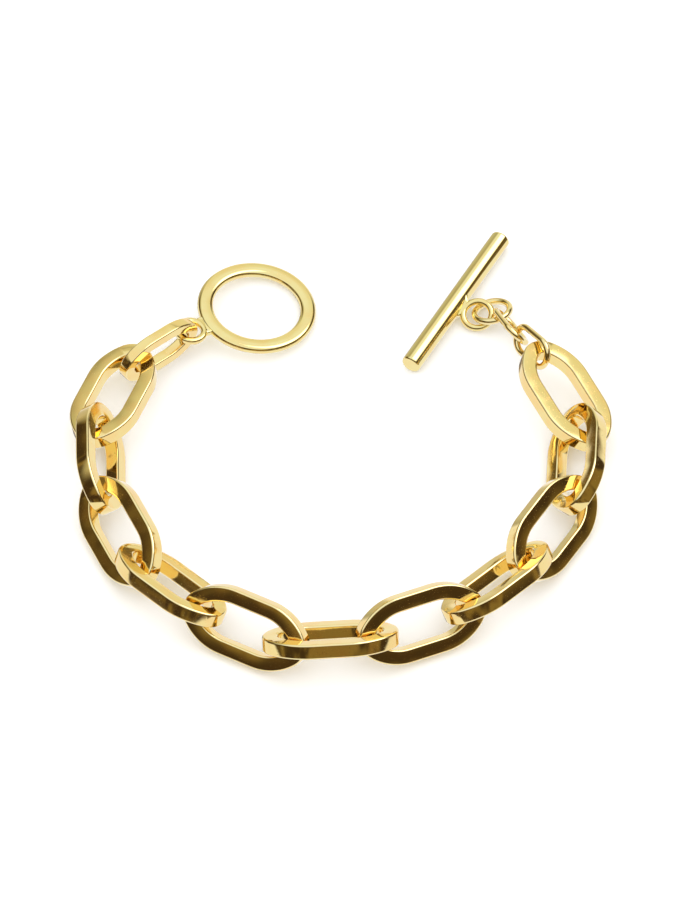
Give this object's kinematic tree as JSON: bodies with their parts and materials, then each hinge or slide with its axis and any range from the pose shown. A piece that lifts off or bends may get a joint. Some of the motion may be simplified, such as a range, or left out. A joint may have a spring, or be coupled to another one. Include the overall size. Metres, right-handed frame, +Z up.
{
  "type": "link bracelet",
  "caption": "Link bracelet of heavy square-wire oval links, with a small connecting link, fine end links and a ring and bar clasp, lying open in a loop.",
  "frame": {"origin": "middle of the floor area that the lying bracelet covers, at the floor", "axes": "+X to the right of the open loop, +Y away towards the clasp, +Z up from the surface it lies on"},
  "size_m": [0.0722, 0.0757, 0.009],
  "materials": {
    "link_gold": "gold plated, polished faces with bright bevels",
    "clasp_gold": "gold plated, high polish",
    "wire_gold": "gold plated round wire, high polish"
  },
  "bodies": {
    "root": {"toggle_ring": "clasp_gold", "link_01": "link_gold", "link_02": "link_gold", "link_03": "link_gold", "link_04": "link_gold", "link_05": "link_gold", "link_06": "link_gold", "link_07": "link_gold", "link_08": "link_gold", "link_09": "link_gold", "link_10": "link_gold", "link_11": "link_gold", "link_12": "link_gold", "small_link_3": "wire_gold", "small_link_2": "wire_gold", "small_link_1": "wire_gold", "toggle_bar": "clasp_gold"}
  },
  "joints": []
}
